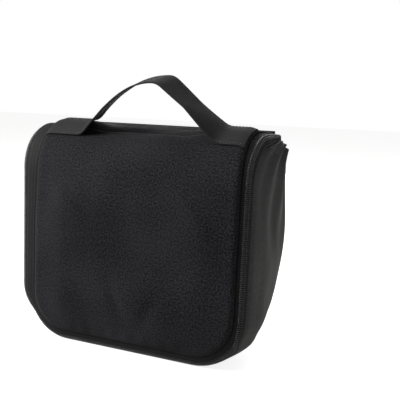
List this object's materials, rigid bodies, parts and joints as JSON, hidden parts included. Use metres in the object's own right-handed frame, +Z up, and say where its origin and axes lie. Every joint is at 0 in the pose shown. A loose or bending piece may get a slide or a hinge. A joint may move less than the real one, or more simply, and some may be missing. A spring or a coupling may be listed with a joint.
{
  "type": "hanging toiletry bag",
  "caption": "Soft toiletry bag: a zipped flap wraps over the top and front, opens upwards with an inner pocket, and carries a fold-out hanging hook.",
  "frame": {"origin": "on the floor, under the middle of the closed bag's bounding box", "axes": "+X to the bag's left-to-right as seen from the front, +Y to the back panel, +Z up"},
  "size_m": [0.2413, 0.1081, 0.2605],
  "materials": {
    "outer_cloth": "matt woven polyester",
    "gusset_cloth": "smooth satin polyester",
    "lining_cloth": "plain nylon",
    "padding": "soft foam",
    "webbing": "flat woven webbing",
    "zip_tape": "ribbed tape",
    "zip_coil": "nylon coil",
    "binding_tape": "bound edge",
    "hook_plastic": "moulded",
    "slider_metal": "black plated",
    "label_cloth": "blank woven label"
  },
  "bodies": {
    "main_body": {"back_panel": "outer_cloth", "back_foam": "padding", "back_lining": "lining_cloth", "gusset_lining": "lining_cloth", "front_wall": "lining_cloth", "gusset": "gusset_cloth", "front_wall_hem": "binding_tape", "front_wall_binding": "binding_tape", "hinge_piping": "binding_tape", "zip_tab_left": "binding_tape", "zip_tab_right": "binding_tape", "body_zip_tape": "zip_tape", "body_zip_coil": "zip_coil"},
    "flap_top": {"flap_top_shell": "outer_cloth", "flap_top_foam": "padding", "flap_top_lining": "lining_cloth", "flap_top_tape_left": "zip_tape", "flap_top_tape_right": "zip_tape", "flap_top_coil_left": "zip_coil", "flap_top_coil_right": "zip_coil", "blank_label": "label_cloth"},
    "flap_corner": {"flap_corner_shell": "outer_cloth", "flap_corner_foam": "padding", "flap_corner_lining": "lining_cloth", "flap_corner_tape_left": "zip_tape", "flap_corner_tape_right": "zip_tape", "flap_corner_coil_left": "zip_coil", "flap_corner_coil_right": "zip_coil", "pocket_panel_corner": "lining_cloth", "handle_end_left": "webbing", "handle_end_right": "webbing"},
    "flap_front": {"flap_front_shell": "outer_cloth", "flap_front_foam": "padding", "flap_front_lining": "lining_cloth", "flap_front_tape": "zip_tape", "pocket_tape_upper": "zip_tape", "pocket_tape_lower": "zip_tape", "flap_front_coil": "zip_coil", "pocket_coil": "zip_coil", "pocket_panel_front": "lining_cloth", "hook_tab": "webbing"},
    "handle_loop": {"carry_handle": "webbing"},
    "hook": {"garment_hook": "hook_plastic"},
    "main_slider_body": {"main_slider": "slider_metal"},
    "main_pull_body": {"main_pull": "slider_metal"},
    "pocket_slider_body": {"pocket_slider": "slider_metal"},
    "pocket_pull_body": {"pocket_pull": "slider_metal"}
  },
  "joints": [
    {"name": "flap_hinge", "type": "hinge", "parent": "main_body", "child": "flap_top", "pos_m": [0, 0.041, 0.211], "axis": [-1, 0, 0], "range_deg": [0, 90]},
    {"name": "top_fold", "type": "hinge", "parent": "flap_top", "child": "flap_corner", "pos_m": [0, -0.003, 0.215], "axis": [-1, 0, 0], "range_deg": [0, 22.5]},
    {"name": "front_fold", "type": "hinge", "parent": "flap_corner", "child": "flap_front", "pos_m": [0, -0.05296, 0.18628], "axis": [-1, 0, 0], "range_deg": [0, 67.5]},
    {"name": "handle_swing", "type": "hinge", "parent": "flap_corner", "child": "handle_loop", "pos_m": [0, -0.02451, 0.21929], "axis": [1, 0, 0], "range_deg": [-50, 50]},
    {"name": "hook_flip", "type": "hinge", "parent": "flap_front", "child": "hook", "pos_m": [0, -0.04529, 0.031], "axis": [-1, 0, 0], "range_deg": [0, 165]},
    {"name": "slider_travel", "type": "slide", "parent": "main_body", "child": "main_slider_body", "axis": [-0.1008, -0.9949, 0.0105], "range_m": [0, 0.034]},
    {"name": "pull_flip", "type": "hinge", "parent": "main_slider_body", "child": "main_pull_body", "pos_m": [-0.11933, 0.03327, 0.20822], "axis": [0.6196, -0.0545, 0.7831], "range_deg": [0, 165]},
    {"name": "pocket_slider_travel", "type": "slide", "parent": "flap_front", "child": "pocket_slider_body", "axis": [1, 0, 0], "range_m": [0, 0.168]},
    {"name": "pocket_pull_flip", "type": "hinge", "parent": "pocket_slider_body", "child": "pocket_pull_body", "pos_m": [-0.084, -0.0446, 0.0914], "axis": [0, 0, 1], "range_deg": [0, 170]}
  ],
  "couplings": [
    {"joint": "top_fold", "follows": "flap_hinge", "ratio": 0.25},
    {"joint": "front_fold", "follows": "flap_hinge", "ratio": 0.75},
    {"joint": "hook_flip", "follows": "flap_hinge", "ratio": 1.8333}
  ]
}
